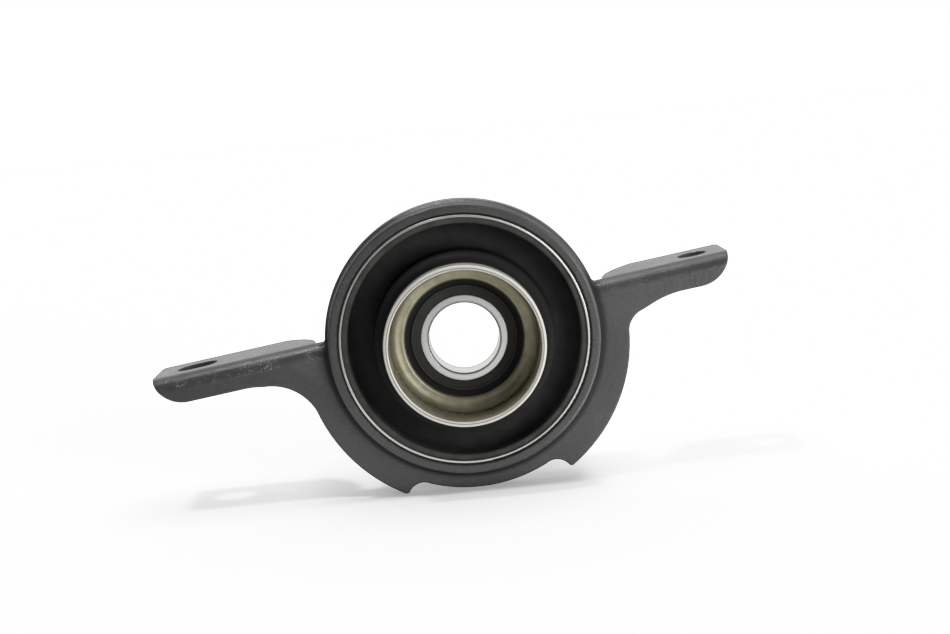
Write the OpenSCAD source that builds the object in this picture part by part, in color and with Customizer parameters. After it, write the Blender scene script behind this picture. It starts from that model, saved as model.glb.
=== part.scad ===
// Driveshaft centre bearing: a sealed ball bearing in a rubber cushion,
// carried by a pressed steel bracket with two arms.
// Millimetres. X runs along the bracket arms, Y along the shaft (front is -Y), Z is up.
// The origin is the centre of the bearing.

/* [Bearing] */
// Shaft bore diameter
bore_d = 30; // [28:0.5:31]
// Outside diameter of the outer ring
bearing_od = 55; // [54:0.5:57]
// Width of the bearing
bearing_w = 13; // [12.6:0.1:15]
// Wall of the inner ring at its faces
inner_end_wall = 3.25; // [2.6:0.05:3.3]
// Ball diameter
ball_d = 7.144; // [6.5:0.001:7.4]
// Number of balls
ball_count = 11; // [8:1:11]
// Running clearance between balls, races and cage pockets
ball_clearance = 0.15; // [0.1:0.01:0.2]
// Sheet thickness of the cage halves
cage_t = 0.7; // [0.5:0.05:0.8]
// Radial width of the cage ribbon
cage_w = 3.4; // [2.8:0.1:3.8]
// Thickness of the seal discs
seal_t = 1.2; // [0.8:0.1:1.3]
// Depth of a seal's face behind the bearing's face
seal_recess = 0.4; // [0.2:0.05:0.5]
// Clearance between a seal's lip and the turning inner ring
lip_clearance = 0.15; // [0.1:0.01:0.3]

/* [Inner sleeve] */
// Sheet thickness of the inner sleeve
inner_sleeve_t = 2; // [1.6:0.1:2.4]
// Inside diameter of the cup in front of the bearing
cup_d = 62.4; // [61:0.1:64]
// Distance of the cup's rim from the bearing's centre
inner_sleeve_front = 29.5; // [26:0.5:34]
// Radial width of the outer ring's face that the shoulder covers
shoulder_lap = 2.6; // [1.5:0.1:2.6]
// Radius between the shoulder and the cup's wall
cup_fillet_r = 4; // [2:0.5:4.5]
// Height of the ledge in the cup's wall
ledge_h = 0.7; // [0.3:0.1:0.9]
// Distance of the ledge from the shoulder
ledge_len = 5; // [4.6:0.1:8]
// Radial width of the lip rolled in behind the bearing
rear_lap = 1.5; // [1:0.1:2]

/* [Rubber cushion] */
// Radial room for the rubber between the cup and the outer sleeve
cushion_room = 18.1; // [17.5:0.1:22]
// Thickness of the rubber along the outer sleeve
lining_t = 2.6; // [2:0.1:2.9]
// Distance of the lining's ends from the outer sleeve's rims
lining_recess = 1; // [0.5:0.1:2]
// Thickness of the rubber along the cup
hub_t = 4.2; // [3:0.1:4.5]
// Distance of the hub rubber's front end from the cup's rim
hub_front_recess = 9; // [6:0.5:12]
// Distance of the hub rubber's rear end from the sleeve's rear end
hub_rear_recess = 1.5; // [1:0.1:2.5]
// Thickness of the curved rubber web
web_t = 3.6; // [3:0.1:4.2]
// Distance of the web's rear from the bearing's centre
web_rear = 4; // [2:0.5:6.5]

/* [Outer sleeve] */
// Wall of the outer sleeve
outer_sleeve_t = 1; // [0.8:0.1:2]
// Length of the outer sleeve
outer_sleeve_len = 26; // [24:0.5:32]

/* [Bracket] */
// Sheet thickness of the bracket
sheet_t = 4.5; // [3.5:0.1:5]
// Distance of the collar's front edge from the bearing's centre
collar_front = 13.5; // [12:0.5:16]
// Distance of the plate's front face from the bearing's centre
plate_front = 6.5; // [5:0.5:7.5]
// Radius between collar and plate
collar_fillet_r = 3; // [1:0.5:4.5]
// Width of the plate's edge beyond the collar at the top
top_rim = 1.5; // [0.5:0.1:3]
// Radius of the hollow between an arm's top and the plate's edge
throat_r = 4; // [2:0.5:6]
// Radius of the lobes on either side of the collar
lobe_r = 68.7; // [66:0.1:74]
// Drop of the lobes' centre below the shaft
lobe_drop = 3.3; // [1:0.1:5]
// Radius of the plate's edge between the two notches
bottom_r = 64.3; // [62:0.1:66]
// Radius of the scalloped notches
notch_r = 7; // [5:0.5:9]
// Radius of the blunt tooth beside a notch
tooth_r = 1.6; // [0.5:0.1:2]
// Angle of the left notch below the left arm
left_notch_a = 63.5; // [55:0.5:70]
// Angle of the right notch below the right arm
right_notch_a = 69; // [60:0.5:75]

/* [Arms] */
// Reach of the left arm from the shaft
left_reach = 132.5; // [125:0.5:145]
// Reach of the right arm from the shaft
right_reach = 115.5; // [106:0.5:130]
// Height of the flange's top above the shaft
flange_top = 11; // [9:0.1:14]
// Height of the web's lower edge above the shaft
arm_bottom = -0.6; // [-4:0.1:1]
// Depth of the flange along the shaft
flange_depth = 30.5; // [28:0.5:36]
// Outside radius of the bend between flange and web
bend_r = 6; // [5:0.1:7]
// Radius of the lower corner at an arm's end
tip_r = 13.5; // [5:0.5:14]
// Radius of the flange's rear corner at an arm's end
flange_corner_r = 2.5; // [1:0.5:5]
// Distance from the shaft at which the left arm's lower edge starts to slope down
left_root_x = 92; // [88:0.5:98]
// Slope of the left arm's root
left_root_a = 10; // [4:0.5:12]
// Radius where the left arm's root meets its lobe
left_root_r = 22; // [10:0.5:26]
// Distance from the shaft at which the right arm's lower edge starts to slope down
right_root_x = 87; // [83:0.5:92]
// Slope of the right arm's root
right_root_a = 20; // [10:0.5:22]
// Radius where the right arm's root meets its lobe
right_root_r = 10; // [5:0.5:16]
// Radius where an arm's lower edge starts to slope down
root_blend_r = 40; // [20:1:50]
// Distance from the shaft at which the flange starts to narrow
taper_start = 77; // [74:0.5:82]
// Distance from the shaft at which the flange has run out
taper_end = 62; // [60:0.5:66]
// Radius of the flange's narrowing edge
taper_r = 32; // [26:0.5:40]

/* [Bolt holes] */
// Diameter of the round hole and width of the slot
hole_d = 12.5; // [10:0.1:14]
// Distance of the holes' centres behind the bearing's centre
hole_y = 10; // [8:0.1:11]
// Length of the slot
slot_len = 17.5; // [15:0.1:22]
// Distance of the slot's centre from the shaft
slot_x = 115; // [108:0.1:118]
// Distance of the round hole's centre from the shaft
hole_x = 102.3; // [95:0.1:104]

/* [Hidden] */
BALLS = [for (i = [1:ball_count]) str("ball_", i)];
$fn = 96;

// Overlap of cutting tools past the face they cut
eps = 0.2;
// Reach of a cutting tool past the whole part
far = 200;
// Depth by which a rounding or a notch crosses the edges beside it, at a slight angle
cross_inset = 0.12;
// The same for the long blend at an arm's root
blend_inset = 0.03;

// Bearing
bore_r = bore_d / 2;
bearing_r = bearing_od / 2;
bearing_half = bearing_w / 2;
pitch_r = (bore_r + bearing_r) / 2;
ball_r = ball_d / 2;
race_r = ball_r + ball_clearance;
shoulder_drop = 0.31 * ball_d;
inner_shoulder_r = pitch_r - shoulder_drop;
outer_shoulder_r = pitch_r + shoulder_drop;
ring_chamfer = 0.6;
inner_end_r = bore_r + inner_end_wall;

// Seals
seal_gap = 0.6;
seal_face = bearing_half - seal_recess;
seal_back = seal_face - seal_t;
seal_in_r = inner_end_r + lip_clearance;
seal_out_r = bearing_r - 2.5;
seal_bead_r = 0.6;
seal_bead_c = seal_in_r + 0.52 * (seal_out_r - seal_in_r);
seal_groove_in_r = seal_bead_c + 0.8;
seal_groove_out_r = seal_out_r - 0.7;
seal_groove_depth = 0.45;

// Cage
cage_in_r = pitch_r - cage_w / 2;
cage_out_r = pitch_r + cage_w / 2;
rivet_r = 0.7;
rivet_head_r = 1.1;
rivet_head_h = 0.4;

// Inner sleeve
cup_r = cup_d / 2;
cup_out_r = cup_r + inner_sleeve_t;
cup_small_r = cup_r - ledge_h;
shoulder_in_r = bearing_r - shoulder_lap;
shoulder_front = bearing_half + inner_sleeve_t;
shoulder_edge_r = 1.5;
seat_out_r = bearing_r + inner_sleeve_t;
// The bends take up no more than the step between the cup and the bearing's seat
cup_step = cup_out_r - seat_out_r;
cup_bend_r = min(2.2, 0.6 * cup_step);
seat_bend_r = min(1.2, 0.33 * cup_step);
rear_bend_r = 1.5;
rim_r = 0.5;
// The fillet ends at the rounding of the shoulder's edge
shoulder_fillet_r = min(cup_fillet_r, cup_small_r - shoulder_in_r - shoulder_edge_r);
ledge_edge_r = 0.4;

// Rubber and outer sleeve
cushion_r = cup_out_r + cushion_room;
outer_sleeve_r = cushion_r + outer_sleeve_t;
outer_sleeve_rear = outer_sleeve_len - collar_front;
outer_sleeve_edge_r = 0.4;
lining_r = cushion_r - lining_t;
lining_edge_r = 1;
hub_r = cup_out_r + hub_t;
// The hub's rounded front takes up no more than its thickness
hub_edge_r = min(3.6, 0.85 * hub_t);
hub_front = inner_sleeve_front - hub_front_recess;
hub_rear = shoulder_front - hub_rear_recess;
groove_c = (hub_r + lining_r) / 2;
groove_r = (lining_r - hub_r) / 2 + cross_inset;
groove_y = web_rear - web_t - groove_r;

// Bracket
collar_r = outer_sleeve_r + sheet_t;
plate_back = plate_front - sheet_t;
web_top = flange_top - bend_r;
flange_back = flange_depth - plate_front;
left_notch = 180 + left_notch_a;
right_notch = 360 - right_notch_a;
notch_c = bottom_r + notch_r - cross_inset;
tooth_inset = 0.96 * tooth_r;
collar_edge_r = 1.2;
collar_mouth_r = 1.2;
rim_edge_r = collar_r + top_rim;
throat_t = sheet_t / 2;
throat_z = web_top + 0.88 * bend_r;
collar_rear_r = 3;
lobe_c = [0, -lobe_drop];

// Sliver between a square corner and its rounding, which is centred towards dir.
// Taken away it rounds an outer corner; added it fills an inner one.
module corner(at, r, dir) {
    translate(at) difference() {
        translate(dir * (r - eps) / 2) square(r + eps, center = true);
        translate(dir * r) circle(r);
    }
}

// Rectangle between two radii and two places along the shaft
module band(r0, r1, y0, y1) {
    translate([r0, y0]) square([r1 - r0, y1 - y0]);
}

// Turns a section (radius, place along the shaft) about the shaft
module turned() {
    rotate([-90, 0, 0]) rotate_extrude() children();
}

// Extrudes a front view (x, z) along the shaft from y0 to y1
module front_view(y0, y1) {
    translate([0, y1, 0]) rotate([90, 0, 0]) linear_extrude(y1 - y0) children();
}

// Places a copy for each ball, turned about the shaft by its share of a circle
module each_ball(offset_share = 0) {
    for (i = [0:ball_count - 1]) rotate([0, -(i + offset_share) * 360 / ball_count, 0]) children();
}

// Sector of the front view between two angles
module sector(a0, a1) {
    mid = (a0 + a1) / 2;
    polygon([[0, 0], far * [cos(a0), sin(a0)], far * [cos(mid), sin(mid)], far * [cos(a1), sin(a1)]]);
}

// One of the two points where two circles meet; side is 1 or -1
function meet(c1, r1, c2, r2, side) =
    let (
        v = c2 - c1,
        d = norm(v),
        along = (d * d + r1 * r1 - r2 * r2) / (2 * d),
        across = sqrt(r1 * r1 - along * along)
    )
    c1 + (along * v + side * across * [-v[1], v[0]]) / d;

// Web between an arm's lower edge and its lobe.
// The edge slopes down from start_x, with a long blend, and is rounded by root_r where it meets the lobe.
module arm_root(start_x, slope, root_r) {
    edge = -[cos(slope), sin(slope)];
    down = [sin(slope), -cos(slope)];
    start = [start_x, arm_bottom];
    reach = lobe_r + root_r - cross_inset;
    lift = root_r - cross_inset;
    offset_start = start + lift * down - lobe_c;
    ahead = offset_start * edge;
    along = -ahead - sqrt(ahead * ahead - offset_start * offset_start + reach * reach);
    foot = start + along * edge;
    root_c = foot + lift * down;
    touch_lobe = lobe_c + (root_c - lobe_c) * lobe_r / reach;
    blend_lift = root_blend_r - blend_inset;
    blend_len = blend_lift * tan(slope / 2);
    difference() {
        polygon([start + [0, eps], start + [blend_len, 0], start + blend_len * edge]);
        translate(start + [blend_len, -blend_lift]) circle(root_blend_r);
    }
    difference() {
        polygon([
            lobe_c,
            [0, arm_bottom + eps],
            [start_x, arm_bottom + eps],
            start,
            foot,
            touch_lobe
        ]);
        translate(root_c) circle(root_r);
    }
}

// Sliver that blunts the tooth between a lobe and the notch at angle a
module tooth_cut(a, side) {
    notch = notch_c * [cos(a), sin(a)];
    tip = meet(lobe_c, lobe_r + eps, notch, notch_r - eps, side);
    round_c = meet(lobe_c, lobe_r - tooth_inset, notch, notch_r + tooth_inset, side);
    difference() {
        polygon([
            round_c,
            lobe_c + (round_c - lobe_c) * (lobe_r + eps) / (lobe_r - tooth_inset),
            tip,
            notch + (round_c - notch) * (notch_r - eps) / (notch_r + tooth_inset)
        ]);
        translate(round_c) circle(tooth_r);
    }
}

// Front view of the flat plate, without the arms' bends
module plate_outline() {
    difference() {
        union() {
            circle(rim_edge_r);
            intersection() {
                translate(lobe_c) circle(lobe_r);
                translate([-far, -far]) square([2 * far, far + web_top]);
            }
            arm_root(right_root_x, right_root_a, right_root_r);
            mirror([1, 0]) arm_root(left_root_x, left_root_a, left_root_r);
        }
        difference() {
            sector(left_notch, right_notch);
            circle(bottom_r);
        }
        for (a = [left_notch, right_notch]) translate(notch_c * [cos(a), sin(a)]) circle(notch_r);
        tooth_cut(left_notch, -1);
        tooth_cut(right_notch, 1);
    }
}

// Hollow corner between the right arm's top and the plate's edge round the collar
module throat() {
    reach = rim_edge_r + throat_r - cross_inset;
    round_z = throat_z + throat_r - cross_inset;
    round_c = [sqrt(reach * reach - round_z * round_z), round_z];
    difference() {
        polygon([[0, 0], [round_c[0], 0], [round_c[0], throat_z], round_c * rim_edge_r / reach]);
        translate(round_c) circle(throat_r);
    }
}

// Section of an arm: web at the front, flange folded to the rear
module arm_section() {
    difference() {
        union() {
            translate([-plate_front, arm_bottom]) square([sheet_t, flange_top - arm_bottom]);
            translate([-plate_front, flange_top - sheet_t]) square([flange_depth, sheet_t]);
            corner([-plate_back, flange_top - sheet_t], bend_r - sheet_t, [1, -1]);
        }
        corner([-plate_front, flange_top], bend_r, [1, -1]);
    }
}

// Arm along +X, with its rounded lower corner and its flange narrowing towards the collar
module arm(reach) {
    chord = [taper_start - taper_end, flange_back + plate_back];
    middle = [taper_end, -plate_back] + chord / 2;
    rise = sqrt(taper_r * taper_r - chord * chord / 4);
    taper_c = middle + rise * [chord[1], -chord[0]] / norm(chord);
    difference() {
        rotate([90, 0, 90]) linear_extrude(reach) arm_section();
        front_view(-plate_front - eps, flange_back + eps)
            corner([reach, arm_bottom], tip_r, [-1, 1]);
        translate([0, 0, arm_bottom]) linear_extrude(far) {
            corner([reach, flange_back], flange_corner_r, [-1, -1]);
            difference() {
                translate([-eps, -plate_back]) square([taper_start + eps, flange_back + plate_back + eps]);
                translate(taper_c) circle(taper_r);
            }
        }
    }
}

// Slot or round hole through a flange
module bolt_hole(x, len) {
    span = (len - hole_d) / 2;
    translate([x, hole_y, flange_top - sheet_t - eps]) linear_extrude(sheet_t + 2 * eps) union() {
        translate([span, 0]) circle(hole_d / 2);
        translate([-span, 0]) circle(hole_d / 2);
        if (span > 0) square([2 * span, hole_d], center = true);
    }
}

// Drawn collar and its fillet onto the plate
module collar() {
    turned() difference() {
        band(outer_sleeve_r, collar_r, -collar_front, -plate_back);
        corner([collar_r, -collar_front], collar_edge_r, [-1, 1]);
        corner([outer_sleeve_r, -collar_front], collar_mouth_r, [1, 1]);
    }
    intersection() {
        turned() translate([-eps, 0]) corner([collar_r, -plate_front], collar_fillet_r, [1, -1]);
        front_view(-collar_front, -plate_back) plate_outline();
    }
}

module bracket() {
    color([0.25, 0.25, 0.26]) difference() {
        union() {
            difference() {
                union() {
                    front_view(-plate_front, -plate_back) plate_outline();
                    arm(right_reach);
                    mirror([1, 0, 0]) arm(left_reach);
                    for (side = [0, 1]) mirror([side, 0, 0])
                        front_view(-plate_back - throat_t, -plate_back) throat();
                }
                turned() band(0, outer_sleeve_r + sheet_t / 2, -far, far);
            }
            collar();
        }
        turned() corner([outer_sleeve_r, -plate_back], collar_rear_r, [1, -1]);
        bolt_hole(hole_x, hole_d);
        bolt_hole(-slot_x, slot_len);
    }
}

module outer_sleeve() {
    color([0.75, 0.74, 0.72]) turned() difference() {
        band(cushion_r, outer_sleeve_r, -collar_front, outer_sleeve_rear);
        corner([outer_sleeve_r, -collar_front], outer_sleeve_edge_r, [-1, 1]);
        corner([outer_sleeve_r, outer_sleeve_rear], outer_sleeve_edge_r, [-1, -1]);
    }
}

// Section of the inner sleeve: cup, ledge, shoulder, bearing seat and rolled rear lip
module inner_sleeve_section() {
    difference() {
        union() {
            band(cup_r, cup_out_r, -inner_sleeve_front, -bearing_half);
            band(cup_small_r, cup_r + eps, -shoulder_front - ledge_len, -bearing_half);
            band(shoulder_in_r, cup_r, -shoulder_front, -bearing_half);
            corner([cup_small_r, -shoulder_front], shoulder_fillet_r, [-1, -1]);
            band(bearing_r, seat_out_r, -bearing_half - eps, shoulder_front);
            corner([seat_out_r, -bearing_half], seat_bend_r, [1, 1]);
            band(bearing_r - rear_lap, bearing_r + eps, bearing_half, shoulder_front);
        }
        corner([cup_r, -inner_sleeve_front], rim_r, [1, 1]);
        corner([cup_out_r, -inner_sleeve_front], rim_r, [-1, 1]);
        corner([cup_small_r, -shoulder_front - ledge_len], ledge_edge_r, [1, 1]);
        corner([shoulder_in_r, -shoulder_front], shoulder_edge_r, [1, 1]);
        corner([cup_out_r, -bearing_half], cup_bend_r, [-1, -1]);
        corner([seat_out_r, shoulder_front], rear_bend_r, [-1, -1]);
    }
}

// Section of the rubber web: round-bottomed groove in front, bulge at the rear
module rubber_web() {
    difference() {
        intersection() {
            translate([groove_c, groove_y]) circle(groove_r + web_t);
            band(hub_r - eps, lining_r + eps, groove_y, far);
        }
        translate([groove_c, groove_y]) circle(groove_r);
    }
}

module rubber_cushion() {
    color([0.11, 0.11, 0.11]) turned() difference() {
        union() {
            band(lining_r, cushion_r, lining_recess - collar_front, outer_sleeve_rear - lining_recess);
            band(cup_out_r, hub_r, -hub_front, hub_rear);
            band(cup_out_r - cup_bend_r, cup_out_r + eps, -bearing_half - cup_bend_r, hub_rear);
            band(seat_out_r, cup_out_r, -bearing_half, hub_rear);
            rubber_web();
        }
        inner_sleeve_section();
        corner([lining_r, lining_recess - collar_front], lining_edge_r, [1, 1]);
        corner([hub_r, -hub_front], hub_edge_r, [-1, 1]);
    }
}

module inner_sleeve() {
    color([0.72, 0.68, 0.52]) turned() inner_sleeve_section();
}

module bearing_outer_ring() {
    color([0.78, 0.78, 0.77]) turned() difference() {
        band(outer_shoulder_r, bearing_r, -bearing_half, bearing_half);
        translate([pitch_r, 0]) circle(race_r);
        band(0, seal_out_r, -far, -seal_back);
        band(0, seal_out_r, seal_back, far);
        for (side = [-1, 1]) corner([bearing_r, side * bearing_half], ring_chamfer, [-1, -side]);
    }
}

module bearing_inner_ring() {
    color([0.80, 0.80, 0.79]) turned() difference() {
        union() {
            band(bore_r, inner_shoulder_r, seal_gap - seal_back, seal_back - seal_gap);
            band(bore_r, inner_end_r, -bearing_half, bearing_half);
        }
        translate([pitch_r, 0]) circle(race_r);
        for (side = [-1, 1]) {
            translate([bore_r, side * bearing_half]) rotate(45)
                square(ring_chamfer * sqrt(2), center = true);
            corner([inner_end_r, side * bearing_half], ring_chamfer / 2, [-1, -side]);
        }
    }
}

// Bearing seal with its bead and groove, drawn for the front
module bearing_seal() {
    color([0.10, 0.10, 0.10]) turned() difference() {
        union() {
            band(seal_in_r, seal_out_r, -seal_face, -seal_back);
            translate([seal_bead_c, seal_bead_r / 3 - seal_face]) circle(seal_bead_r);
        }
        band(seal_groove_in_r, seal_groove_out_r, -far, seal_groove_depth - seal_face);
    }
}

module front_bearing_seal() {
    bearing_seal();
}

module rear_bearing_seal() {
    mirror([0, 1, 0]) bearing_seal();
}

// Sphere about the first ball's centre
module ball_space(r) {
    translate([pitch_r, 0, 0]) rotate([90, 0, 0]) sphere(r);
}

// Half of the pressed cage with its ball pockets, drawn for the front
module cage_half() {
    color([0.62, 0.62, 0.60]) difference() {
        intersection() {
            turned() band(cage_in_r, cage_out_r, -far, 0);
            union() {
                turned() band(cage_in_r - 1, cage_out_r + 1, -cage_t, eps);
                each_ball() ball_space(race_r + cage_t);
            }
        }
        each_ball() ball_space(race_r);
        each_ball(0.5) rivet(rivet_r, 4 * cage_t);
    }
}

module front_cage_half() {
    cage_half();
}

module rear_cage_half() {
    mirror([0, 1, 0]) cage_half();
}

// Round pin through the cage beside the first ball, centred on the split plane
module rivet(r, len) {
    translate([pitch_r, 0, 0]) rotate([90, 0, 0]) cylinder(r = r, h = len, center = true);
}

module cage_rivets() {
    color([0.70, 0.70, 0.68]) each_ball(0.5) {
        rivet(rivet_r, 2 * (cage_t + rivet_head_h));
        difference() {
            rivet(rivet_head_r, 2 * (cage_t + rivet_head_h));
            rivet(rivet_head_r + eps, 2 * cage_t);
        }
    }
}

module ball(i) {
    color([0.85, 0.85, 0.85]) rotate([0, -(i - 1) * 360 / ball_count, 0]) ball_space(ball_r);
}

bracket();
outer_sleeve();
rubber_cushion();
inner_sleeve();
bearing_outer_ring();
bearing_inner_ring();
front_bearing_seal();
rear_bearing_seal();
front_cage_half();
rear_cage_half();
cage_rivets();
for (i = [1:ball_count]) ball(i);
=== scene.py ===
import math
from typing import NamedTuple

import bmesh
import bpy
from bpy.props import FloatProperty, FloatVectorProperty, PointerProperty
from mathutils import Euler, Matrix, Vector


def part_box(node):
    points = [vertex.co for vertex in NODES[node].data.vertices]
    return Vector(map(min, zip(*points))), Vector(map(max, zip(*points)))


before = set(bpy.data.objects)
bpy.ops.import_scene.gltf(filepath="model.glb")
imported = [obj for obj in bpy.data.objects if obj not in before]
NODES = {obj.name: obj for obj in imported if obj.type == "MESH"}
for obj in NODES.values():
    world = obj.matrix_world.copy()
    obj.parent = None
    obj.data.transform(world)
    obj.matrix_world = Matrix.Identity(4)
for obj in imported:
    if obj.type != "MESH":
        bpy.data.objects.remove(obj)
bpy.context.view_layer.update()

bl_info = {
    "name": "Driveshaft Centre Bearing",
    "version": (1, 0, 0),
    "blender": (4, 5, 0),
    "location": "View3D > Sidebar > Centre Bearing",
    "description": "Finishes the parts of a driveshaft centre bearing and sets them on a studio floor",
    "category": "Object",
}

WHITE = (1.0, 1.0, 1.0, 1.0)
BLACK = (0.0, 0.0, 0.0, 1.0)


class Span(NamedTuple):
    """Two values between which something changes."""

    low: float
    high: float

    def moved(self, by):
        """The same span about another value."""
        return Span(self.low + by, self.high + by)


class Zone(NamedTuple):
    """Stretch with soft ends, in metres."""

    low: float
    high: float
    fade: float

    def moved(self, by):
        """The same zone about another value."""
        return Zone(self.low + by, self.high + by, self.fade)


class Bloom(NamedTuple):
    """Ring of grey on rubber, for bloom and for painted light: its radii and how much of it there is."""

    zone: Zone
    amount: float


# --- Settings ---


def colour(name, description, default):
    """Colour setting with the given default."""
    return FloatVectorProperty(
        name=name, description=description, subtype="COLOR", size=3, min=0.0, max=1.0, default=default
    )


def length(name, description, default):
    """Length setting in metres."""
    return FloatProperty(
        name=name, description=description, unit="LENGTH", min=0.0, default=default, precision=5
    )


def share(name, description, default):
    """Setting between nothing and all."""
    return FloatProperty(
        name=name, description=description, subtype="FACTOR", min=0.0, max=1.0, default=default
    )


def power(name, description, default):
    """Power of a light in watts."""
    return FloatProperty(name=name, description=description, unit="POWER", default=default)


def level(name, description, default):
    """Strength of a glow."""
    return FloatProperty(name=name, description=description, default=default)


class BracketSettings(bpy.types.PropertyGroup):
    """Paint and edges of the pressed bracket."""

    paint: colour("Paint", "Main tone of the satin paint", (0.056, 0.056, 0.057))
    paint_light: colour("Paint, lighter patches", "Tone where the paint lies thinner", (0.070, 0.070, 0.0695))
    # Also the colour of the painted light above the left root's crease
    worn_and_lit: colour("Worn paint", "Tone where the paint is rubbed", (0.24, 0.24, 0.235))
    wear: share("Edge wear", "How strongly the edges are rubbed", 0.4)
    grain: length("Grain", "Size of the paint's grain", 0.00045)
    edge: length("Edge softness", "Radius of the pressed sheet's edges", 0.0009)
    # Painted shade: a dark tone in the corner at the collar's foot and in the gap round the outer sleeve, where
    # shade falls
    tint: colour("Film", "Dark film in the corners along the collar", (0.016, 0.016, 0.016))
    painted_shade_share: share("Film share", "How strongly the film covers the corners", 0.85)
    collar: length("Collar radius", "Radius of the collar's outside", 0.0568)
    # Painted light: the paint above the left root's crease is lightened towards the worn tone, standing in for
    # a face turned up to the light
    root: share("Rubbed root", "How far the paint is rubbed above the left root's crease", 0.12)
    # Painted highlight: bright specks of colour along the bends
    glint: colour("Glints", "Bright specks along the bends", (0.45, 0.45, 0.44))


class SleeveSettings(bpy.types.PropertyGroup):
    """Metal of the two sleeves."""

    steel: colour("Outer sleeve", "Bare steel of the outer sleeve's rim", (0.66, 0.64, 0.60))
    plating: colour("Plating", "Yellowish plating of the inner sleeve", (0.31, 0.288, 0.196))
    plating_pale: colour("Plating, paler", "Paler patches of the plating", (0.41, 0.393, 0.306))
    scale: colour("Dull outside", "Dull grey on the cup's outside", (0.30, 0.295, 0.28))
    rim: colour("Bare rim", "Bare metal of the inner sleeve's rim", (0.72, 0.70, 0.65))
    # Painted shade: a dark line where the ledge in the cup steps down
    dark_line: colour("Grime", "Dark film along the ledge in the cup", (0.085, 0.080, 0.062))
    ledge: FloatProperty(
        name="Ledge", description="Place of the ledge along the shaft", unit="LENGTH", default=-0.0135
    )
    lines: length("Turning lines", "Distance between the turning lines", 0.0003)


class RubberSettings(bpy.types.PropertyGroup):
    """Moulded rubber of the cushion and the seals."""

    cushion: colour("Cushion", "Black of the cushion", (0.0115, 0.0115, 0.0113))
    # Also the grey of the painted highlight on the cushion's edges and of the painted light in its groove
    bloom_and_light: colour("Bloom", "Grey bloom on the cushion", (0.170, 0.169, 0.163))
    seal: colour("Seal", "Black of the bearing's seals", (0.015, 0.015, 0.0153))
    # Also the grey of the painted highlight on the seals' bead
    seal_worn_and_sheen: colour("Seal, rubbed", "Grey of the seals' rubbed faces", (0.066, 0.065, 0.062))
    grain: length("Grain", "Size of the rubber's grain", 0.0006)


class BearingSettings(bpy.types.PropertyGroup):
    """Steel of the rings, balls and cage."""

    ring: colour("Rings", "Ground steel of the rings", (0.65, 0.65, 0.642))
    dark_line: colour("Grime", "Dark film along the rings' edges", (0.045, 0.042, 0.036))
    ball: colour("Balls", "Polished steel of the balls", (0.74, 0.74, 0.74))
    cage: colour("Cage", "Pressed steel of the cage", (0.48, 0.47, 0.45))
    lines: length("Grinding lines", "Distance between the grinding lines", 0.00022)


class StageSettings(bpy.types.PropertyGroup):
    """Floor, light and camera."""

    floor: colour("Floor", "Colour of the floor", (0.50, 0.50, 0.50))
    glow: level("Floor glow", "Strength of the floor's own light, which lightens the shadow on it", 1.2)
    contact: level("Contact glow", "Strength of that light where the part touches the floor", 0.25)
    fill: level("Fill", "What is added to that light under the right arm", 3.0)
    shade: share("Floor shade", "How dark the floor falls in front on the left", 0.95)
    floor_radius: length("Floor radius", "Radius of the floor", 6.0)
    tilt: FloatProperty(
        name="Floor tilt",
        description="Angle between the arms and the floor that the bracket stands on",
        subtype="ANGLE",
        default=math.radians(7.25),
    )
    ambient: share("Ambient light", "Level of the light from all round", 0.45)
    dark: share("Dark side", "Level of the surroundings above the camera and left of it", 0.08)
    top: power("Top light", "Power of the wide light overhead", 4.5)
    top_size: length("Top light size", "Width of the wide light overhead", 0.8)
    key: power("Key light", "Power of the small light overhead", 3.5)
    key_size: length("Key light size", "Width of the small light overhead", 0.10)
    side: power("Side light", "Power of the light on the right", 2.4)
    side_size: length("Side light size", "Width of the light on the right", 0.35)
    camera_place: FloatVectorProperty(
        name="Camera place",
        description="Where the camera stands",
        subtype="XYZ",
        unit="LENGTH",
        default=(0.0160, -0.6365, 0.1008),
    )
    camera_turn: FloatVectorProperty(
        name="Camera turn",
        description="How the camera is turned",
        subtype="EULER",
        default=(math.radians(81.375), math.radians(12.698), math.radians(-1.025)),
    )
    lens: FloatProperty(name="Lens", description="Focal length of the camera in millimetres", default=57.67)


class CentreBearingSettings(bpy.types.PropertyGroup):
    """All the settings of the centre bearing."""

    bracket: PointerProperty(type=BracketSettings)
    sleeves: PointerProperty(type=SleeveSettings)
    rubber: PointerProperty(type=RubberSettings)
    bearing: PointerProperty(type=BearingSettings)
    stage: PointerProperty(type=StageSettings)


# --- Node trees ---

# Colour sockets of the Mix node: two inputs and the result
MIX_A, MIX_B, MIX_RESULT = 6, 7, 2
BEVEL_SAMPLES = 6
# How far a softened normal leans from its face where an edge starts and where it is full, as 1 - cosine
EDGE_LEAN = Span(0.015, 0.12)


def rgba(value):
    """Colour setting as four numbers."""
    return (*value, 1.0)


def shaded(value, factor):
    """Colour setting made darker or lighter by a factor, as four numbers."""
    return rgba(factor * channel for channel in value)


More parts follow.
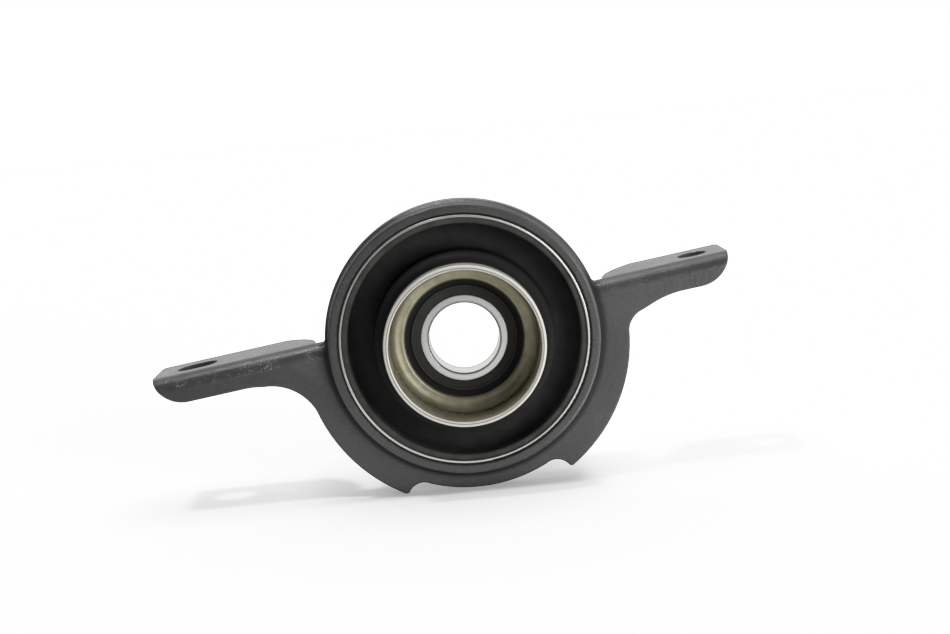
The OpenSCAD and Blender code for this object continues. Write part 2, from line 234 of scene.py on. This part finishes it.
class Nodes:
    """Node tree whose nodes are added and linked from their values."""

    def __init__(self, tree):
        self.tree = tree

    def put(self, socket, value):
        """Links a socket to another, or sets its value."""
        if isinstance(value, bpy.types.NodeSocket):
            self.tree.links.new(value, socket)
        else:
            socket.default_value = value

    def add(self, kind, inputs=None, **settings):
        """New node with its settings and inputs."""
        node = self.tree.nodes.new("ShaderNode" + kind)
        for key, value in settings.items():
            setattr(node, key, value)
        for key, value in (inputs or {}).items():
            self.put(node.inputs[key], value)
        return node

    def math(self, operation, a, b):
        """Result of an operation on two values."""
        return self.add("Math", {0: a, 1: b}, operation=operation).outputs[0]

    def plus(self, a, b):
        """Sum of two values."""
        return self.math("ADD", a, b)

    def times(self, a, b):
        """Product of two values."""
        return self.math("MULTIPLY", a, b)

    def larger(self, a, b):
        """Larger of two values."""
        return self.math("MAXIMUM", a, b)

    def dot(self, a, b):
        """Dot product of two vectors."""
        return self.add("VectorMath", {0: a, 1: b}, operation="DOT_PRODUCT").outputs["Value"]

    def span(self, value, low, high, to_low=0.0, to_high=1.0):
        """Value mapped smoothly from one span to another."""
        inputs = {"Value": value, "From Min": low, "From Max": high, "To Min": to_low, "To Max": to_high}
        return self.add("MapRange", inputs, interpolation_type="SMOOTHSTEP").outputs["Result"]

    def fall(self, value, low, high):
        """1 below a span and 0 above it."""
        return self.span(value, low, high, 1.0, 0.0)

    def blend(self, mask, off, on):
        """One value where a mask is 0 and another where it is 1."""
        return self.span(mask, 0.0, 1.0, off, on)

    def zone(self, value, zone):
        """1 inside a zone and 0 outside, with soft ends."""
        rising = self.span(value, zone.low - zone.fade, zone.low)
        return self.times(rising, self.fall(value, zone.high, zone.high + zone.fade))


class Finish(Nodes):
    """One material, built on the place of each point on its piece; y runs along the shaft."""

    def __init__(self, name):
        self.material = bpy.data.materials.new(name)
        self.material.use_nodes = True
        super().__init__(self.material.node_tree)
        self.shader = self.tree.nodes["Principled BSDF"]
        self.place = self.add("TexCoord").outputs["Object"]
        self.x, self.y, self.z = self.add("SeparateXYZ", {0: self.place}).outputs[:]

    def set(self, **inputs):
        """Sets the shader's inputs; an underscore stands for a space."""
        for key, value in inputs.items():
            self.put(self.shader.inputs[key.replace("_", " ")], value)

    def noise(self, size, detail=3.0, roughness=0.5, place=None):
        """Noise whose features have the given size in metres."""
        inputs = {
            "Vector": place or self.place,
            "Scale": 1.0 / size,
            "Detail": detail,
            "Roughness": roughness,
        }
        return self.add("TexNoise", inputs).outputs["Fac"]

    def mix(self, factor, a, b):
        """Colour between two others."""
        node = self.add("Mix", {"Factor": factor}, data_type="RGBA")
        self.put(node.inputs[MIX_A], a)
        self.put(node.inputs[MIX_B], b)
        return node.outputs[MIX_RESULT]

    def bump(self, height, depth, strength, normal):
        """Normal raised further by a height of the given depth in metres."""
        inputs = {"Height": height, "Distance": depth, "Strength": strength, "Normal": normal}
        return self.add("Bump", inputs).outputs["Normal"]

    def soft_edge(self, radius):
        """Normal that is rounded over sharp edges."""
        return self.add("Bevel", {"Radius": radius}, samples=BEVEL_SAMPLES).outputs["Normal"]

    def edge_mask(self, radius):
        """1 along the sharp edges and 0 on the faces."""
        face = self.add("NewGeometry").outputs["Normal"]
        lean = self.math("SUBTRACT", 1.0, self.dot(self.soft_edge(radius), face))
        return self.span(lean, *EDGE_LEAN)

    def radius(self):
        """Distance from the shaft's axis."""
        flat = self.add("CombineXYZ", {0: self.x, 1: self.z}).outputs[0]
        return self.add("VectorMath", {0: flat}, operation="LENGTH").outputs["Value"]

    def turned_place(self):
        """Coordinates that stay the same all round the shaft, for turning lines."""
        return self.add("CombineXYZ", {0: self.radius(), 1: self.y}).outputs[0]


# --- Paint ---

# Sizes of the paint's features
PATCH_SIZE = 0.022
RUBBED_SIZE = 0.004
RAGGED_SIZE = 0.0012
CLUSTER_SIZE = 0.008
GLINT_SIZE = 0.0006
# Size of the paint's orange peel as a multiple of its grain, and the depths of the two
PEEL_RATIO = 5.0
PEEL_DEPTH = 0.0002
GRAIN_DEPTH = 0.00009
# How much of the worn tone shows in the grain
SANDY_SHARE = 0.15
# Shine of the paint, and what the painted shade at the collar makes of it
PAINT_ROUGHNESS = Span(0.23, 0.31)
PAINT_SPECULAR = 0.5
PAINTED_SHADE_ROUGHNESS = 0.3
PAINTED_SHADE_SPECULAR = 0.1
# Painted shade at the collar's foot: behind the front edge, outside the collar, and the heights where it ends
FOOT_DEPTH = Zone(0.0035, 0.0085, 0.001)
FOOT_OUT = Span(0.0016, 0.0044)
FOOT_TOP = Span(0.010, 0.022)
# Painted shade in the gap round the outer sleeve: about the sleeve's radius, behind the front edge, and its
# ragged edge
GAP_ROUND = Zone(-0.001, 0.0006, 0.0007)
GAP_DEPTH = Span(0.0016, 0.0024)
GAP_RAGGED = 0.0002
# Crease in the left arm's root: a point on it, the direction across it, and how far the painted light above it
# fades there
CREASE_PLACE = Vector((-0.0740, -0.0065, 0.0040))
CREASE_SIDE = Vector((0.72, 0.0, 0.69)).normalized()
CREASE_FADE = Span(-0.0015, 0.0030)
# Where the painted light above the crease starts to the left of the collar and on the plate's front
ROOT_LEFT = Span(-0.060, -0.064)
ROOT_FRONT = Span(-0.0060, -0.0064)
# Bends of the arms, where the painted glints lie, and the share of them that is left from the collar to the
# right
BEND_HEIGHT = Zone(0.0055, 0.0095, 0.0015)
BEND_DEPTH = Zone(-0.0066, -0.0030, 0.001)
LEFT_ARM_END = Span(-0.060, -0.050)
GLINTS_RIGHT = 0.25


def collar_painted_shade(f, collar):
    """Mask of the painted shade at the collar's foot and in the gap round the outer sleeve."""
    radius = f.radius()
    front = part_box("bracket")[0].y
    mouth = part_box("outer_sleeve")[1].x
    stray = f.span(f.noise(RAGGED_SIZE, roughness=0.6), 0.3, 0.7, -GAP_RAGGED, GAP_RAGGED)
    below = f.times(f.zone(f.y, FOOT_DEPTH.moved(front)), f.fall(f.z, *FOOT_TOP))
    foot = f.times(f.fall(radius, *FOOT_OUT.moved(collar)), below)
    ring = f.zone(f.plus(radius, stray), GAP_ROUND.moved(mouth))
    gap = f.times(ring, f.fall(f.y, *GAP_DEPTH.moved(front)))
    return f.larger(foot, gap)


def painted_root_light(f):
    """Mask of the painted light above the crease in the left arm's root, which stands in for a face turned up
    to the light.
    """
    lead = f.add("VectorMath", {0: f.place, 1: CREASE_PLACE}, operation="SUBTRACT").outputs["Vector"]
    above = f.span(f.dot(lead, CREASE_SIDE), *CREASE_FADE)
    return f.times(above, f.times(f.span(f.x, *ROOT_LEFT), f.span(f.y, *ROOT_FRONT)))


def painted_bend_glints(f):
    """Mask of the painted glints along the arms' bends, most of them on the left arm."""
    bend = f.times(f.zone(f.z, BEND_HEIGHT), f.zone(f.y, BEND_DEPTH))
    number = f.span(f.x, *LEFT_ARM_END, 1.0, GLINTS_RIGHT)
    clusters = f.times(f.span(f.noise(CLUSTER_SIZE), 0.46, 0.60), number)
    glints = f.times(f.span(f.noise(GLINT_SIZE, roughness=0.7), 0.53, 0.68), clusters)
    return f.times(bend, glints)


def satin_paint(settings):
    """Dark satin paint with a sandy grain, thin patches and rubbed edges, with painted light above the left
    root's crease, painted glints along the bends and painted shade in the corners along the collar.
    """
    f = Finish("satin_paint")
    patches = f.noise(PATCH_SIZE, detail=5.0, roughness=0.6)
    grain = f.noise(settings.grain, detail=2.0, roughness=0.7)
    peel = f.noise(settings.grain * PEEL_RATIO, detail=2.0)
    # Painted shade in the corner at the collar's foot and in the gap round the outer sleeve
    tint = f.times(collar_painted_shade(f, settings.collar), settings.painted_shade_share)
    chafed = f.span(f.noise(RUBBED_SIZE, detail=4.0, roughness=0.65), 0.35, 0.65)
    edges = f.times(f.times(f.edge_mask(settings.edge), chafed), settings.wear)
    # Rubbed edges, and painted light above the left root's crease
    wear = f.larger(edges, f.times(painted_root_light(f), settings.root))
    base = f.mix(f.span(patches, 0.35, 0.7), rgba(settings.paint), rgba(settings.paint_light))
    sandy = f.mix(f.span(grain, 0.52, 0.78, 0.0, SANDY_SHARE), base, rgba(settings.worn_and_lit))
    worn_and_lit = f.mix(wear, sandy, rgba(settings.worn_and_lit))
    # Painted glints: bright specks of colour along the bends, where the rough paint catches the light
    with_painted_glints = f.mix(painted_bend_glints(f), worn_and_lit, rgba(settings.glint))
    peeled = f.bump(peel, PEEL_DEPTH, strength=0.6, normal=f.soft_edge(settings.edge))
    f.set(
        Base_Color=f.mix(tint, with_painted_glints, rgba(settings.tint)),
        Roughness=f.plus(f.span(patches, 0.3, 0.75, *PAINT_ROUGHNESS), f.times(tint, PAINTED_SHADE_ROUGHNESS)),
        Specular_IOR_Level=f.blend(tint, PAINT_SPECULAR, PAINTED_SHADE_SPECULAR),
        Normal=f.bump(grain, GRAIN_DEPTH, strength=0.9, normal=peeled),
    )
    return f.material


# --- Metal ---

STEEL_EDGE = 0.0003
# Broad bands as a multiple of the fine lines, how dark the darker lines are and how far bands and stains show
BROAD_RATIO = 9.0
STEEL_DARK = 0.78
BROAD_SHARE = 0.5
STAIN_SIZE = 0.006
STAIN_SHARE = 0.35
# Reach of the grime along the rings' edges, and how much it covers
GRIME_EDGE = 0.0006
GRIME_SHARE = 0.9
# How far the roughness lies below and above its middle along the lines
ROUGHNESS_SWING = Span(-0.06, 0.10)
# Lines on the cage and the balls as multiples of those on the rings
CAGE_LINE_RATIO = 2.0
BALL_LINE_RATIO = 4.0

# Plating of the cup: its patches, dark bands as a multiple of the fine lines, pits and shine
PLATING_PATCH_SIZE = 0.009
BAND_RATIO = 7.0
BAND_DARK = 0.5
BAND_SHARE = 0.35
PIT_SIZE = 0.0009
PIT_LIGHT = 1.5
PLATING_LINE_DEPTH = 0.00002
PLATING_ROUGHNESS = Span(0.48, 0.60)
PLATING_METAL = 0.85
# Roughness that the cup's dull outside adds, and how metallic it is
OUTSIDE_ROUGHNESS = 0.15
OUTSIDE_METAL = 0.5
# Bare rim behind the cup's front, its dull sheared line and the cup's outside, from the outer radius
RIM_DEPTH = Span(0.0004, 0.0008)
SHEARED_ROUND = Zone(-0.00135, -0.00105, 0.00012)
OUTSIDE_ROUND = Span(-0.0006, -0.0002)
# Painted shade about the ledge, where the cup's wall steps down
LEDGE_DEPTH = Zone(-0.0002, 0.0004, 0.0002)


def turned_steel(name, tone, lines, roughness, depth, dark_line=None):
    """Steel with fine lines round the shaft, soft edges and, where given, grime along the edges."""
    f = Finish(name)
    turned = f.turned_place()
    fine = f.noise(lines, detail=2.0, roughness=0.7, place=turned)
    broad = f.noise(lines * BROAD_RATIO, place=turned)
    stain = f.noise(STAIN_SIZE, detail=4.0, roughness=0.6)
    dark = shaded(tone, STEEL_DARK)
    toned = f.mix(f.span(broad, 0.3, 0.7, 0.0, BROAD_SHARE), rgba(tone), dark)
    stained = f.mix(f.span(stain, 0.55, 0.8, 0.0, STAIN_SHARE), toned, dark)
    if dark_line is not None:
        stained = f.mix(f.times(f.edge_mask(GRIME_EDGE), GRIME_SHARE), stained, rgba(dark_line))
    f.set(
        Base_Color=stained,
        Metallic=1.0,
        Roughness=f.span(fine, 0.25, 0.75, *ROUGHNESS_SWING.moved(roughness)),
        Normal=f.bump(fine, depth, strength=0.8, normal=f.soft_edge(STEEL_EDGE)),
    )
    return f.material


def plated_steel(settings):
    """Yellowish plating with paler patches, turning lines and painted shade along the ledge, dull outside, bare
    at the rim.
    """
    f = Finish("yellow_plating")
    turned = f.turned_place()
    radius = f.radius()
    low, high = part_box("inner_sleeve")
    fine = f.noise(settings.lines, detail=2.0, roughness=0.7, place=turned)
    bands = f.noise(settings.lines * BAND_RATIO, detail=2.0, place=turned)
    patches = f.noise(PLATING_PATCH_SIZE, detail=5.0, roughness=0.62)
    pits = f.noise(PIT_SIZE, roughness=0.7)
    bare = f.fall(f.y, *RIM_DEPTH.moved(low.y))
    outside = f.span(radius, *OUTSIDE_ROUND.moved(high.x))
    plating = f.mix(f.span(patches, 0.35, 0.68), rgba(settings.plating), rgba(settings.plating_pale))
    banded = f.mix(f.span(bands, 0.45, 0.75, 0.0, BAND_SHARE), plating, shaded(settings.plating, BAND_DARK))
    pitted = f.mix(f.span(pits, 0.40, 0.75), rgba(settings.scale), shaded(settings.scale, PIT_LIGHT))
    # Painted shade along the ledge in the cup
    ledge = f.times(f.zone(f.y, LEDGE_DEPTH.moved(settings.ledge)), f.span(pits, 0.30, 0.48))
    walls = f.mix(outside, f.mix(ledge, banded, rgba(settings.dark_line)), pitted)
    sheared = f.zone(radius, SHEARED_ROUND.moved(high.x))
    rim = f.mix(sheared, rgba(settings.rim), rgba(settings.scale))
    f.set(
        Base_Color=f.mix(bare, walls, rim),
        Metallic=f.blend(outside, PLATING_METAL, OUTSIDE_METAL),
        Roughness=f.plus(f.span(fine, 0.25, 0.75, *PLATING_ROUGHNESS), f.times(outside, OUTSIDE_ROUGHNESS)),
        Normal=f.bump(fine, PLATING_LINE_DEPTH, strength=0.7, normal=f.soft_edge(STEEL_EDGE)),
    )
    return f.material


# --- Rubber ---

CLOUD_SIZE = 0.007
PORE_DEPTH = 0.00004
RUBBER_ROUGHNESS = Span(0.58, 0.72)
RUBBER_SPECULAR = 0.12
# Softness of the edges, which carry dust and a painted highlight, and how much grey lies on them
DUST_AND_SHEEN_EDGE = 0.0008
EDGE_DUST_AND_SHEEN = 0.2
# Share of a ring's bloom that is left in its thinnest places
THIN_BLOOM = 0.55
# Rings of grey on the cushion, the last one from the cup's radius, and on the seals: bloom, with painted light
# in the cushion's groove and a painted highlight on the seal's bead
LIP_BLOOM = Bloom(Zone(0.0489, 0.0514, 0.0006), 0.45)
# Grey bloom in the groove, partly painted light that lifts the shaded groove
GROOVE_BLOOM_AND_LIGHT = Bloom(Zone(0.0388, 0.0480, 0.0015), 0.18)
CUP_BLOOM = Bloom(Zone(0.0, 0.0002, 0.0007), 0.22)
SEAL_BLOOM = Bloom(Zone(0.0186, 0.0211, 0.0006), 0.6)
# Painted highlight on the seal's bead, as a ring of grey
PAINTED_BEAD_HIGHLIGHT = Bloom(Zone(0.0217, 0.0221, 0.0002), 1.0)


def moulded_rubber(name, tone, bloom_and_light, grain, blooms, softness):
    """Matt rubber with a fine grain, grey with dust and a painted highlight on its edges, and grey in rings
    round the shaft: bloom, with painted light in the cushion's groove and a painted highlight on the seal's
    bead.
    """
    f = Finish(name)
    radius = f.radius()
    cloud = f.noise(CLOUD_SIZE, detail=5.0, roughness=0.65)
    pores = f.noise(grain, roughness=0.6)
    # Grey along the edges: dust and a painted highlight
    dust_and_sheen = f.times(f.edge_mask(DUST_AND_SHEEN_EDGE), EDGE_DUST_AND_SHEEN)
    for zone, amount in blooms:
        cover = f.span(cloud, 0.3, 0.7, THIN_BLOOM * amount, amount)
        dust_and_sheen = f.larger(dust_and_sheen, f.times(f.zone(radius, zone), cover))
    f.set(
        Base_Color=f.mix(dust_and_sheen, rgba(tone), rgba(bloom_and_light)),
        Roughness=f.span(cloud, 0.3, 0.7, *RUBBER_ROUGHNESS),
        Specular_IOR_Level=RUBBER_SPECULAR,
        Normal=f.bump(pores, PORE_DEPTH, strength=0.7, normal=f.soft_edge(softness)),
    )
    return f.material


# --- Pieces ---


def dress(node, material):
    """Gives a CAD node its material."""
    for slot in NODES[node].material_slots:
        slot.material = material


def settings_of(context):
    """The centre bearing's settings in this scene."""
    return context.scene.centre_bearing


class CENTREBEARING_OT_bracket(bpy.types.Operator):
    """Paint the pressed bracket"""

    bl_idname = "centre_bearing.bracket"
    bl_label = "Bracket"

    def execute(self, context):
        dress("bracket", satin_paint(settings_of(context).bracket))
        return {"FINISHED"}


class CENTREBEARING_OT_sleeves(bpy.types.Operator):
    """Finish the outer and the inner sleeve"""

    bl_idname = "centre_bearing.sleeves"
    bl_label = "Sleeves"

    def execute(self, context):
        s = settings_of(context).sleeves
        dress("outer_sleeve", turned_steel("sleeve_steel", s.steel, s.lines, roughness=0.34, depth=0.00002))
        dress("inner_sleeve", plated_steel(s))
        return {"FINISHED"}


class CENTREBEARING_OT_cushion(bpy.types.Operator):
    """Finish the rubber cushion"""

    bl_idname = "centre_bearing.cushion"
    bl_label = "Rubber Cushion"

    def execute(self, context):
        s = settings_of(context).rubber
        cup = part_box("inner_sleeve")[1].x
        blooms = (LIP_BLOOM, GROOVE_BLOOM_AND_LIGHT, Bloom(CUP_BLOOM.zone.moved(cup), CUP_BLOOM.amount))
        rubber = moulded_rubber("cushion_rubber", s.cushion, s.bloom_and_light, s.grain, blooms, softness=0.0018)
        dress("rubber_cushion", rubber)
        return {"FINISHED"}


class CENTREBEARING_OT_bearing(bpy.types.Operator):
    """Finish the bearing's rings, seals, cage and balls"""

    bl_idname = "centre_bearing.bearing"
    bl_label = "Ball Bearing"

    def execute(self, context):
        s = settings_of(context).bearing
        r = settings_of(context).rubber
        ring = turned_steel("ground_steel", s.ring, s.lines, roughness=0.27, depth=0.000012, dark_line=s.dark_line)
        cage = turned_steel("cage_steel", s.cage, s.lines * CAGE_LINE_RATIO, roughness=0.38, depth=0.00002)
        ball = turned_steel("ball_steel", s.ball, s.lines * BALL_LINE_RATIO, roughness=0.12, depth=0.000002)
        blooms = (SEAL_BLOOM, PAINTED_BEAD_HIGHLIGHT)
        seal = moulded_rubber("seal_rubber", r.seal, r.seal_worn_and_sheen, r.grain, blooms, softness=0.0004)
        for node in ("bearing_outer_ring", "bearing_inner_ring"):
            dress(node, ring)
        for node in ("front_bearing_seal", "rear_bearing_seal"):
            dress(node, seal)
        for node in ("front_cage_half", "rear_cage_half", "cage_rivets"):
            dress(node, cage)
        for node in NODES:
            if node.startswith("ball_"):
                dress(node, ball)
        return {"FINISHED"}


# --- Stage ---

FLOOR_SEGMENTS = 96
FLOOR_ROUGHNESS = 0.9
FLOOR_SPECULAR = 0.2
# Direction along the floor in which its paper falls into shade, and how far out that starts and is full
SHADE_SIDE = Vector((-0.95, -0.31, 0.0)).normalized()
SHADE_REACH = Span(0.08, 0.46)
# Floor under the part, with little glow: its left end, its right end and its depth
CONTACT_LEFT = Span(-0.105, -0.055)
CONTACT_RIGHT = Span(0.028, 0.050)
CONTACT_DEPTH = Zone(-0.010, 0.060, 0.010)
# Floor under the right arm, with more glow: its left end and its depth
FILL_LEFT = Span(0.034, 0.066)
FILL_DEPTH = Zone(-0.030, 0.120, 0.030)
# Places of the lights in the floor's frame: right, away from the camera, up
TOP_PLACE = Vector((0.0, 0.0, 1.0))
KEY_SIDE = Vector((-0.225, -0.12, 0.967)).normalized()
KEY_DISTANCE = 1.2
SIDE_PLACE = Vector((0.45, -0.55, 0.10))
# Direction of the dark side of the surroundings, and the cosines to it where that starts and is full
DARK_SIDE = Vector((-0.36, -0.80, 0.48)).normalized()
DARK_REACH = Span(-0.05, 0.65)
SENSOR_WIDTH = 36.0
CLIP = Span(0.01, 20.0)


def floor_paper(settings):
    """Paper that falls into shade on the left, and glows less under the part and more under its right arm."""
    f = Finish("floor_paper")
    shade = f.span(f.dot(f.place, SHADE_SIDE), *SHADE_REACH, 0.0, settings.shade)
    paper = f.mix(shade, rgba(settings.floor), BLACK)
    across = f.times(f.span(f.x, *CONTACT_LEFT), f.fall(f.x, *CONTACT_RIGHT))
    contact = f.times(across, f.zone(f.y, CONTACT_DEPTH))
    beside = f.times(f.span(f.x, *FILL_LEFT), f.zone(f.y, FILL_DEPTH))
    glow = f.blend(contact, settings.glow, settings.contact)
    f.set(
        Base_Color=paper,
        Roughness=FLOOR_ROUGHNESS,
        Specular_IOR_Level=FLOOR_SPECULAR,
        Emission_Color=paper,
        Emission_Strength=f.plus(glow, f.times(beside, settings.fill)),
    )
    return f.material


def make_floor(settings):
    """Wide disc under the lowest point of the bracket, which keeps the shadow."""
    up = Vector((math.sin(settings.tilt), 0.0, math.cos(settings.tilt)))
    height = min(up.dot(v.co) for v in NODES["bracket"].data.vertices)
    bm = bmesh.new()
    bmesh.ops.create_circle(bm, cap_ends=True, segments=FLOOR_SEGMENTS, radius=settings.floor_radius)
    bmesh.ops.rotate(bm, matrix=Matrix.Rotation(settings.tilt, 3, "Y"), verts=bm.verts)
    bmesh.ops.translate(bm, vec=up * height, verts=bm.verts)
    mesh = bpy.data.meshes.new("floor")
    bm.to_mesh(mesh)
    bm.free()
    mesh.materials.append(floor_paper(settings))
    floor = bpy.data.objects.new("floor", mesh)
    floor.is_shadow_catcher = True
    bpy.context.scene.collection.objects.link(floor)


def make_light(name, energy, size, place):
    """Square area light at a place, facing the bearing's centre."""
    data = bpy.data.lights.new(name, "AREA")
    data.shape = "SQUARE"
    data.size = size
    data.energy = energy
    light = bpy.data.objects.new(name, data)
    light.location = place
    light.rotation_euler = place.to_track_quat("Z", "Y").to_euler()
    bpy.context.scene.collection.objects.link(light)


def make_world(settings):
    """Surroundings that the camera sees white, and that light the part less from the dark side."""
    world = bpy.data.worlds.new("studio")
    world.use_nodes = True
    n = Nodes(world.node_tree)
    n.tree.nodes.clear()
    ray = n.add("LightPath").outputs
    towards = n.add("TexCoord").outputs["Generated"]
    sides = n.span(n.dot(towards, DARK_SIDE), *DARK_REACH, 1.0, settings.dark)
    soft = n.times(sides, n.blend(ray["Is Glossy Ray"], settings.ambient, 1.0))
    seen = n.larger(ray["Is Camera Ray"], ray["Is Transmission Ray"])
    sky = n.add("Background", {"Color": WHITE, "Strength": n.larger(soft, seen)})
    n.add("OutputWorld", {"Surface": sky.outputs[0]})
    bpy.context.scene.world = world


def make_camera(settings):
    """Camera in front of the bearing and a little above the shaft, rolled against the arms."""
    data = bpy.data.cameras.new("camera")
    data.lens = settings.lens
    data.sensor_width = SENSOR_WIDTH
    data.clip_start, data.clip_end = CLIP
    camera = bpy.data.objects.new("camera", data)
    camera.location = settings.camera_place
    camera.rotation_euler = Euler(settings.camera_turn)
    bpy.context.scene.collection.objects.link(camera)
    bpy.context.scene.camera = camera


class CENTREBEARING_OT_stage(bpy.types.Operator):
    """Make the floor, the lights and the camera"""

    bl_idname = "centre_bearing.stage"
    bl_label = "Stage"

    def execute(self, context):
        s = settings_of(context).stage
        standing = Matrix.Rotation(s.tilt, 3, "Y")
        make_floor(s)
        make_world(s)
        make_light("top_light", s.top, s.top_size, standing @ TOP_PLACE)
        make_light("key_light", s.key, s.key_size, standing @ KEY_SIDE * KEY_DISTANCE)
        make_light("side_light", s.side, s.side_size, standing @ SIDE_PLACE)
        make_camera(s)
        context.scene.view_settings.view_transform = "Standard"
        return {"FINISHED"}


# --- Panel and registration ---

OPERATORS = (
    CENTREBEARING_OT_bracket,
    CENTREBEARING_OT_sleeves,
    CENTREBEARING_OT_cushion,
    CENTREBEARING_OT_bearing,
    CENTREBEARING_OT_stage,
)


class CENTREBEARING_PT_panel(bpy.types.Panel):
    """Settings and operators of the centre bearing"""

    bl_idname = "CENTREBEARING_PT_panel"
    bl_label = "Centre Bearing"
    bl_space_type = "VIEW_3D"
    bl_region_type = "UI"
    bl_category = "Centre Bearing"

    def draw(self, context):
        s = settings_of(context)
        groups = (s.bracket, s.sleeves, s.rubber, s.bearing, s.stage)
        for operator, group in zip(OPERATORS, groups):
            box = self.layout.box()
            box.operator(operator.bl_idname)
            for name in group.__annotations__:
                box.prop(group, name)


CLASSES = (
    BracketSettings,
    SleeveSettings,
    RubberSettings,
    BearingSettings,
    StageSettings,
    CentreBearingSettings,
    *OPERATORS,
    CENTREBEARING_PT_panel,
)


def register():
    """Adds the classes and the scene's settings."""
    for cls in CLASSES:
        bpy.utils.register_class(cls)
    bpy.types.Scene.centre_bearing = PointerProperty(type=CentreBearingSettings)


def unregister():
    """Takes away what register added."""
    del bpy.types.Scene.centre_bearing
    for cls in reversed(CLASSES):
        bpy.utils.unregister_class(cls)


def main():
    """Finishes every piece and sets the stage."""
    register()
    bpy.ops.centre_bearing.bracket()
    bpy.ops.centre_bearing.sleeves()
    bpy.ops.centre_bearing.cushion()
    bpy.ops.centre_bearing.bearing()
    bpy.ops.centre_bearing.stage()


if __name__ == "__main__":
    main()
